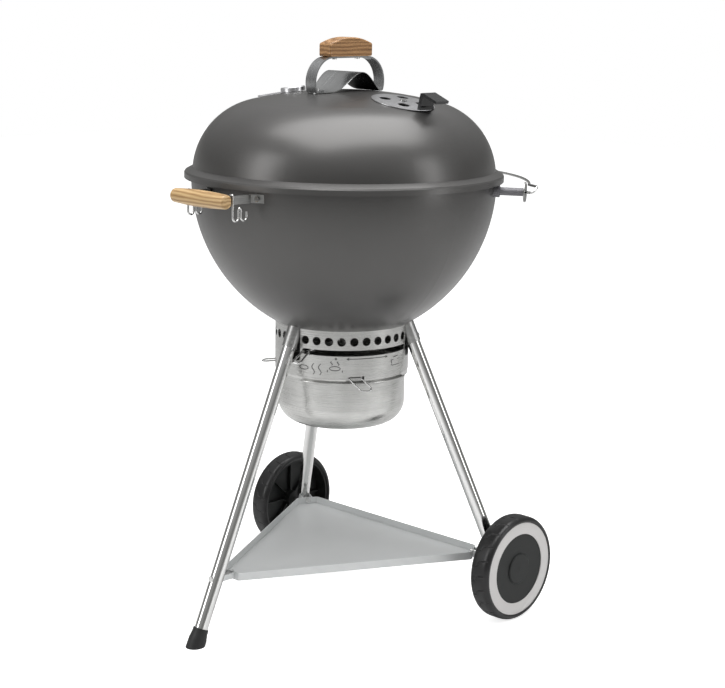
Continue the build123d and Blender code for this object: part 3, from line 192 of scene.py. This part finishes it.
def roughen(tree, surface, height, distance, strength=0.5):
    """Turns a height pattern into relief; distance is its real depth in metres."""
    relief = add(tree, "ShaderNodeBump", [("Height", height), ("Distance", distance), ("Strength", strength)])
    tree.links.new(relief.outputs["Normal"], surface.inputs["Normal"])


def vary(tree, surface, socket, pattern, low, high):
    """Lets a pattern move a surface setting between low and high."""
    spread = add(tree, "ShaderNodeMapRange", [("Value", pattern), ("To Min", low), ("To Max", high)])
    tree.links.new(spread.outputs["Result"], surface.inputs[socket])


ORANGE_PEEL = 2.5 * MM
enamel, tree, surface = start_material(
    "porcelain_enamel", Metallic=0.6, Roughness=0.36, Coat_Weight=0.35, Coat_Roughness=0.26)
ripple = noise(tree, 1 / ORANGE_PEEL, 2.0)
cloud = noise(tree, 9.0, 3.0)
blend_tones(tree, surface, cloud, "4e4d4c", "545352")
vary(tree, surface, "Roughness", cloud, 0.34, 0.40)
roughen(tree, surface, ripple, 0.05 * MM, 0.35)
coat(["bowl", "lid"], enamel)

# The spacer tubes of the lid rest are painted to match the bowl, in a flatter grey.
paint, tree, surface = start_material(
    "grey_paint_on_tube", Metallic=0.2, Roughness=0.5, Base_Color=tone("77767a"))
grain = noise(tree, 1 / (1.5 * MM), 2.0)
roughen(tree, surface, grain, 0.04 * MM, 0.4)
vary(tree, surface, "Roughness", grain, 0.44, 0.56)
coat(["lid_rest_tube_right", "lid_rest_tube_left"], paint)


# ---------------------------------------- sheet steel: ash catcher, straps and flanges
# The ash ring and pot are rolled and deep drawn from aluminised steel.
# They are bright and soft-edged, and brushed round the axis.
# The straps and flanges are stainless strip, tumbled to a satin grey.
def brushed(name, colour, dark, roughness, along, depth=0.02 * MM):
    """Metal with fine lines: along is the stretch per axis, small where the lines run."""
    made, tree, surface = start_material(name, Metallic=1.0, Roughness=roughness)
    lines = noise(tree, 1.0, 4.0, along)
    cloud = noise(tree, 16.0, 2.0)
    both = add(tree, "ShaderNodeMath", [(0, lines), (1, cloud)], operation="MULTIPLY")
    spread = add(tree, "ShaderNodeMapRange", [
        ("Value", both.outputs["Value"]), ("From Min", 0.12), ("From Max", 0.38)])
    blend_tones(tree, surface, spread.outputs["Result"], dark, colour)
    vary(tree, surface, "Roughness", lines, roughness - 0.06, roughness + 0.08)
    roughen(tree, surface, lines, depth, 0.4)
    return made


ROUND_THE_AXIS = (14, 14, 1400)
aluminised = brushed("aluminised_sheet", "d0d0ce", "b2b2b0", 0.27, ROUND_THE_AXIS)
coat(["ash_ring", "ash_pot", "damper_blades", "damper_shaft"], aluminised)
satin_strip = brushed("stainless_strip_satin", "a8a8a6", "8b8b8a", 0.34, (500, 30, 500))
coat(["side_handle_strap", "lid_rest_flange_right", "lid_rest_flange_left"], satin_strip)
lid_strip = brushed("stainless_strip_polished", "b9babb", "9c9d9e", 0.26, (700, 30, 60))
coat(["lid_strap"], lid_strip)
shield_sheet = brushed("stainless_shield", "b2b3b3", "989999", 0.24, (600, 20, 20))
coat(["heat_shield"], shield_sheet)
socket_steel = brushed("socket_steel", "b8b8b7", "9c9c9b", 0.38, (40, 40, 500))
coat(["leg_sockets"], socket_steel)
vent_aluminium = brushed("anodised_aluminium", "d9d9db", "c4c4c6", 0.3, (300, 300, 20))
coat(["vent_disc", "thermometer_housing", "badge_plate"], vent_aluminium)

# ---------------------------------------- bright steel: legs, axle, wire and fasteners
# Legs are drawn tube, buffed and plated, so they mirror the room in long streaks with hair-fine buffing marks.
# Wire parts, rivets and screws are bent or headed from bright wire and plated.
def plated(name, colour, roughness, mark):
    """Bright plating with fine marks of the given spacing in metres."""
    made, tree, surface = start_material(name, Metallic=1.0, Base_Color=tone(colour))
    marks = noise(tree, 1 / mark, 5.0, (1, 1, 0.08))
    smear = noise(tree, 24.0, 2.0)
    both = add(tree, "ShaderNodeMath", [(0, marks), (1, smear)], operation="MULTIPLY")
    vary(tree, surface, "Roughness", both.outputs["Value"], roughness, roughness + 0.16)
    return made


bright_tube = plated("plated_tube", "e4e4e3", 0.07, 0.8 * MM)
coat(["leg_front", "leg_right", "leg_left", "axle"], bright_tube)
bright_wire = plated("plated_wire", "cfcfce", 0.14, 0.6 * MM)
coat(["lid_rest_hoop", "tool_hook_right", "tool_hook_left", "pot_latch_front", "pot_latch_left",
      "pot_latch_back", "damper_lever"], bright_wire)
bright_head = plated("plated_fasteners", "d6d6d5", 0.12, 0.5 * MM)
coat(["snap_buttons", "shelf_screws", "side_handle_rivets", "side_handle_screws", "lid_grip_screws",
      "shield_rivets", "vent_rivet", "thermometer_stem"], bright_head)
grate_plate = plated("nickel_plated_rod", "b9b7b2", 0.24, 1.0 * MM)
coat(["charcoal_grate", "cooking_grate_middle", "cooking_grate_flap_front", "cooking_grate_flap_back",
      "cooking_grate_brackets", "charcoal_grate_brackets"], grate_plate)

# ---------------------------------------- shelf: pressed tray under the kettle
# The tray is pressed from sheet, and powder coated in silver grey.
# The coat has a grain like fine sand, about 0.8 mm.
SAND = 0.8 * MM
powder, tree, surface = start_material("silver_powder_coat", Metallic=0.35, Roughness=0.42)
sand = noise(tree, 1 / SAND, 2.0)
cloud = noise(tree, 7.0, 2.0)
blend_tones(tree, surface, cloud, "d0d2d2", "dcdede")
vary(tree, surface, "Roughness", sand, 0.36, 0.5)
roughen(tree, surface, sand, 0.05 * MM, 0.4)
coat(["shelf"], powder)


# ---------------------------------------- moulded black parts: foot, brackets and hubs
# The foot, the axle brackets, the wheel bodies and their caps are moulded in black polypropylene.
# The mould is spark eroded, which leaves a dull even grain near 1 mm.
def moulded(name, colour, roughness, grain=1.0 * MM, depth=0.06 * MM):
    """Moulded plastic with an even grain of this spacing and depth."""
    made, tree, surface = start_material(name, Base_Color=tone(colour), IOR=1.49)
    pits = noise(tree, 1 / grain, 3.0)
    vary(tree, surface, "Roughness", pits, roughness - 0.08, roughness + 0.08)
    roughen(tree, surface, pits, depth, 0.5)
    return made


black_grain = moulded("black_polypropylene", "1b1c1c", 0.5)
coat(["foot_cap", "axle_bracket_right", "axle_bracket_left"], black_grain)
hub_grain = moulded("hub_polypropylene", "111413", 0.58)
coat(["wheel_hub_right", "wheel_hub_left", "hub_cap_right", "hub_cap_left"], hub_grain)

# ---------------------------------------- white walls: rings on the wheels' outer faces
# Each ring is moulded in pale grey polypropylene and pressed into the wheel.
# Its face has fine turned rings.
white_wall, tree, surface = start_material("white_wall_ring", Base_Color=tone("cdcbca"), IOR=1.49)
wheel_centre = {}
for side in ("right", "left"):
    low, high = (Vector(corner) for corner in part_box(f"tyre_{side}"))
    wheel_centre[side] = (low + high) / 2
here = add(tree, "ShaderNodeTexCoord")
centred = add(tree, "ShaderNodeVectorMath", [
    (0, here.outputs["Object"]), (1, (0.0, wheel_centre["right"].y, wheel_centre["right"].z))],
    operation="SUBTRACT")
face_on = add(tree, "ShaderNodeVectorMath", [
    (0, centred.outputs["Vector"]), (1, (0.0, 1.0, 1.0))], operation="MULTIPLY")
reach = add(tree, "ShaderNodeVectorMath", [(0, face_on.outputs["Vector"])], operation="LENGTH")
TURNED_RING = 3.6 * MM
rings = add(tree, "ShaderNodeMath", [
    (0, reach.outputs["Value"]), (1, 2 * math.pi / TURNED_RING)], operation="MULTIPLY")
wave = add(tree, "ShaderNodeMath", [(0, rings.outputs["Value"])], operation="SINE")
roughen(tree, surface, wave.outputs["Value"], 0.12 * MM, 0.5)
vary(tree, surface, "Roughness", wave.outputs["Value"], 0.36, 0.44)
coat(["white_ring_right", "white_ring_left"], white_wall)


# ---------------------------------------- tyres: hard tread moulded round the wheels
# Each tyre is a hard rubber band, moulded glossy.
# Shallow Z cuts cross its rounded tread, and its shoulder is smooth.
def sheet_of(name, points, closed_across=False, closed_along=False):
    """A mesh from a grid of points, rows along and columns across, its faces four-sided and smooth."""
    rows, columns = points.shape[:2]
    down = np.arange(rows if closed_along else rows - 1)
    across = np.arange(columns if closed_across else columns - 1)
    i, j = np.meshgrid(down, across, indexing="ij")
    i2, j2 = (i + 1) % rows, (j + 1) % columns
    quads = np.stack([i * columns + j, i2 * columns + j, i2 * columns + j2, i * columns + j2], axis=-1)
    mesh = bpy.data.meshes.new(name)
    mesh.from_pydata(points.reshape(-1, 3), [], quads.reshape(-1, 4).tolist())
    mesh.shade_smooth()
    piece = bpy.data.objects.new(name, mesh)
    bpy.context.scene.collection.objects.link(piece)
    return piece


def ramp(x, low, high):
    """0 below low, 1 above high, and a smooth cubic between."""
    t = np.clip((x - low) / (high - low), 0, 1)
    return t * t * (3 - 2 * t)


TYRE_RADIUS = 101.5 * MM
TYRE_HALF = 21 * MM
TYRE_INSIDE = 90 * MM
CUTS = 22
CUT_DEPTH = 1.5 * MM
CUT_HALF = 0.9 * MM


def tyre_surface(side):
    """A closed profile carried round the axle.

    Across the tread the radius falls off as the fifth power of the distance from the middle. Each cut is a line
    across the tread that steps sideways in its middle, and the tread sinks where a point is near that line.
    """
    across = np.linspace(-1, 1, 57)
    angle = np.linspace(0, 2 * np.pi, 1056, endpoint=False)[:, None]
    crown = TYRE_RADIUS - 0.2 * MM - 6.5 * MM * np.abs(across) ** 5
    offset = across * TYRE_HALF
    step = 9 * MM * (ramp(across, -0.28, 0.02) - 0.5) + 4 * MM * across
    pitch = 2 * np.pi / CUTS
    away = ((angle + step / TYRE_RADIUS + pitch / 2) % pitch - pitch / 2) * TYRE_RADIUS
    cut = 1 - ramp(np.abs(away), 0.4 * CUT_HALF, 1.2 * CUT_HALF)
    inside = ramp(across, -0.86, -0.74) * (1 - ramp(across, 0.74, 0.86))
    radius = crown[None, :] - CUT_DEPTH * cut * inside[None, :]
    wall_half = np.array([1.0, 0.995, 0.97, 0.93]) * TYRE_HALF
    wall_radius = np.array([TYRE_RADIUS - 8 * MM, TYRE_INSIDE + 2 * MM, TYRE_INSIDE + 0.4 * MM, TYRE_INSIDE])
    turns = np.ones((angle.size, 1))
    radius = np.hstack([turns * wall_radius[::-1], radius, turns * wall_radius])
    along = np.concatenate([-wall_half[::-1], offset, wall_half])[None, :] * turns
    middle = wheel_centre[side]
    sign = 1 if side == "right" else -1
    points = np.stack([
        middle.x + along, middle.y + sign * radius * np.cos(angle), middle.z + radius * np.sin(angle)], axis=-1)
    return sheet_of(f"tread_{side}", points, closed_across=True, closed_along=True)


rubber, tree, surface = start_material("hard_black_rubber", Base_Color=tone("141415"), IOR=1.5)
scuff = noise(tree, 1 / (9 * MM), 4.0)
pores = noise(tree, 1 / (0.9 * MM), 2.0)
vary(tree, surface, "Roughness", scuff, 0.24, 0.46)
roughen(tree, surface, pores, 0.04 * MM, 0.4)
for side in ("right", "left"):
    tyre = tyre_surface(side)
    tyre.data.materials.append(rubber)
    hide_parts(f"tyre_{side}")
    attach(tyre, f"wheel_{side}")


# ---------------------------------------- wooden grips: acacia, planed, rounded and oiled
# Both grips are cut from light hardwood with the grain along the bar, oiled, so the pores and bands show brown.
# Growth bands are about 6 mm apart and pores are streaks half a millimetre wide, drawn at 1 mm to show.
def hardwood(name, pale, middle, dark, along, centre):
    """Wood whose growth bands lie level and waver along the bar, and whose pores are long streaks."""
    made, tree, surface = start_material(name, Coat_Weight=0.12, Coat_Roughness=0.3)
    here = add(tree, "ShaderNodeTexCoord")
    moved = add(tree, "ShaderNodeVectorMath", [
        (0, here.outputs["Object"]), (1, tuple(centre))], operation="SUBTRACT")
    long_way = add(tree, "ShaderNodeVectorMath", [
        (0, moved.outputs["Vector"]), (1, tuple(0.12 if axis else 1.0 for axis in along))], operation="MULTIPLY")
    bend = add(tree, "ShaderNodeTexNoise", [
        ("Vector", long_way.outputs["Vector"]), ("Scale", 42.0), ("Detail", 3.0)])
    shift = add(tree, "ShaderNodeVectorMath", [
        (0, bend.outputs["Color"]), (1, (0.012, 0.012, 0.012))], operation="MULTIPLY")
    bent = add(tree, "ShaderNodeVectorMath", [(0, long_way.outputs["Vector"]), (1, shift.outputs["Vector"])])
    bands = add(tree, "ShaderNodeTexWave", [
        ("Vector", bent.outputs["Vector"]), ("Scale", 1 / (20 * MM)), ("Distortion", 2.5), ("Detail", 2.0),
        ("Detail Scale", 1.5)], wave_type="BANDS", bands_direction="Z")
    thin = add(tree, "ShaderNodeVectorMath", [
        (0, moved.outputs["Vector"]), (1, tuple(0.03 if axis else 1.0 for axis in along))], operation="MULTIPLY")
    pores = add(tree, "ShaderNodeTexNoise", [
        ("Vector", thin.outputs["Vector"]), ("Scale", 1 / (1.1 * MM)), ("Detail", 3.0)])
    mix = add(tree, "ShaderNodeMath", [(0, bands.outputs["Fac"]), (1, 0.62)], operation="MULTIPLY")
    grain = add(tree, "ShaderNodeMath", [(0, pores.outputs["Fac"]), (1, 0.5), (2, mix.outputs["Value"])],
                operation="MULTIPLY_ADD")
    colour = add(tree, "ShaderNodeValToRGB", [("Fac", grain.outputs["Value"])])
    stops = colour.color_ramp.elements
    stops[0].position, stops[0].color = 0.08, tone(dark)
    stops[1].position, stops[1].color = 0.9, tone(pale)
    stops.new(0.4).color = tone(middle)
    tree.links.new(colour.outputs["Color"], surface.inputs["Base Color"])
    vary(tree, surface, "Roughness", grain.outputs["Value"], 0.5, 0.36)
    roughen(tree, surface, pores.outputs["Fac"], 0.12 * MM, 0.5)
    return made


grip_low, grip_high = (np.array(corner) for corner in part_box("side_handle_grip"))
bar_middle = (grip_low + grip_high) / 2
pale_wood = hardwood("oiled_acacia_pale", "c8aa7c", "ab895a", "745533", (1, 0, 0), bar_middle)
coat(["side_handle_grip"], pale_wood)
lid_low, lid_high = (np.array(corner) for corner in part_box("lid_grip"))
brown_wood = hardwood("oiled_acacia_brown", "a98056", "8a6338", "5e3e22", (0, 1, 0), (lid_low + lid_high) / 2)
coat(["lid_grip"], brown_wood)

# ---------------------------------------- ash ring: printed signs and rolled edge
# Small signs are screen printed round the lever's slot in dark grey, for the vents open, half open and shut.
# The panel's lower edge is rolled outwards into a bright bead 4 mm thick.
RING_FACE = 128.45 * MM
INK_WIDTH = 1.3 * MM
signs = []


def oval(middle, width, height):
    """Points of an ellipse about middle (degrees, metres); width and height in metres."""
    t = np.linspace(0, 2 * np.pi, 40)
    reach = math.degrees(width / 2 / RING_FACE)
    return [(middle[0] + reach * math.cos(a), middle[1] + height / 2 * math.sin(a)) for a in t]


def stroke(path):
    """Lays a printed line along a path of points (degrees round the ring, height in metres)."""
    path = np.array(path, float)
    flat = np.stack([np.radians(path[:, 0]) * RING_FACE, path[:, 1]], axis=-1)
    run = np.gradient(flat, axis=0)
    run /= np.maximum(np.linalg.norm(run, axis=1), 1e-9)[:, None]
    side = np.stack([-run[:, 1], run[:, 0]], axis=-1) * INK_WIDTH / 2
    edges = np.stack([flat + side, flat - side], axis=1)
    angle = edges[..., 0] / RING_FACE
    signs.append(np.stack([RING_FACE * np.cos(angle), RING_FACE * np.sin(angle), edges[..., 1]], axis=-1))


def line_of(start, end, count=12):
    """Points of a straight line between two places (degrees, metres)."""
    return list(zip(np.linspace(start[0], end[0], count), np.linspace(start[1], end[1], count)))


stroke(oval((-78.9, 0.4905), 19 * MM, 8 * MM))
for offset in (-3.0, 3.0):
    rise = np.linspace(0, 1, 30)
    stroke([(-67.0 + offset + 1.2 * math.sin(2.2 * math.pi * r), 0.479 + 0.021 * r) for r in rise])
stroke(oval((-51.2, 0.4925), 20 * MM, 8 * MM))
for leg in (-57.5, -45.0):
    stroke(line_of((leg, 0.4895), (leg, 0.4855)))
for flame in (-54.0, -48.5):
    stroke([(flame + 0.8 * math.sin(2 * math.pi * r), 0.499 + 0.007 * r) for r in np.linspace(0, 1, 16)])
stroke([(0.8, 0.502), (1.8, 0.4915), (11.2, 0.4915), (12.2, 0.502), (0.8, 0.502)])
stroke(line_of((3.5, 0.507), (9.5, 0.5085)))
stroke(oval((-50.4, 0.5109), 3 * MM, 3 * MM))
stroke(line_of((-41.4, 0.5108), (-4.2, 0.5108), 60))
for tip, back in ((-41.4, 2.0), (-4.2, -2.0)):
    stroke([(tip + back, 0.5130), (tip, 0.5108), (tip + back, 0.5086)])
ink, tree, surface = start_material("printed_sign", IOR=1.45)
speckle = noise(tree, 1 / (1.2 * MM), 2.0)
blend_tones(tree, surface, speckle, "3c3c3d", "4c4c4d")
vary(tree, surface, "Roughness", speckle, 0.5, 0.62)
for number, points in enumerate(signs, 1):
    sign = sheet_of(f"ring_sign_{number:02d}", points)
    sign.data.materials.append(ink)
    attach(sign, "kettle")

BEAD_FROM, BEAD_TO = math.radians(-80), math.radians(20)
BEAD = 2.0 * MM
BEAD_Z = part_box("ash_ring")[0][2] + BEAD
round_it = np.linspace(BEAD_FROM, BEAD_TO, 120)[:, None]
turn_of = np.linspace(0, 2 * np.pi, 20, endpoint=False)[None, :]
bead_reach = RING_FACE + BEAD * 0.6 + BEAD * np.cos(turn_of)
bead_height = BEAD_Z + BEAD * np.sin(turn_of) * np.ones_like(round_it)
bead_points = np.stack([bead_reach * np.cos(round_it), bead_reach * np.sin(round_it), bead_height], axis=-1)
bead = sheet_of("ring_panel_bead", bead_points, closed_across=True)
bead.data.materials.append(aluminised)
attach(bead, "kettle")

# ---------------------------------------- lid vent tab: glossy black thumb tab
# A nylon tab is snapped over the edge of the vent disc, to turn it while the lid is hot.
# It is moulded glossy.
coat(["vent_tab"], moulded("black_nylon_gloss", "161718", 0.24, 3 * MM, 0.02 * MM))

# ---------------------------------------- thermometer: dial, needle and lens
# A white enamelled dial sits under glass in the plated housing.
# Its red needle turns on the bimetal stem.
dial_paint, tree, surface = start_material("dial_enamel", Roughness=0.4)
cloud = noise(tree, 300.0, 2.0)
blend_tones(tree, surface, cloud, "ecebe6", "f3f2ee")
coat(["thermometer_face"], dial_paint)
needle_paint, tree, surface = start_material("needle_lacquer", Base_Color=tone("b0241c"))
cloud = noise(tree, 500.0, 2.0)
vary(tree, surface, "Roughness", cloud, 0.3, 0.4)
coat(["thermometer_needle"], needle_paint)
glass, tree, surface = start_material(
    "dial_glass", Base_Color=tone("f6f8f8"), Transmission_Weight=1.0, IOR=1.5, Alpha=0.35)
haze = noise(tree, 120.0, 2.0)
vary(tree, surface, "Roughness", haze, 0.02, 0.06)
coat(["thermometer_lens"], glass)
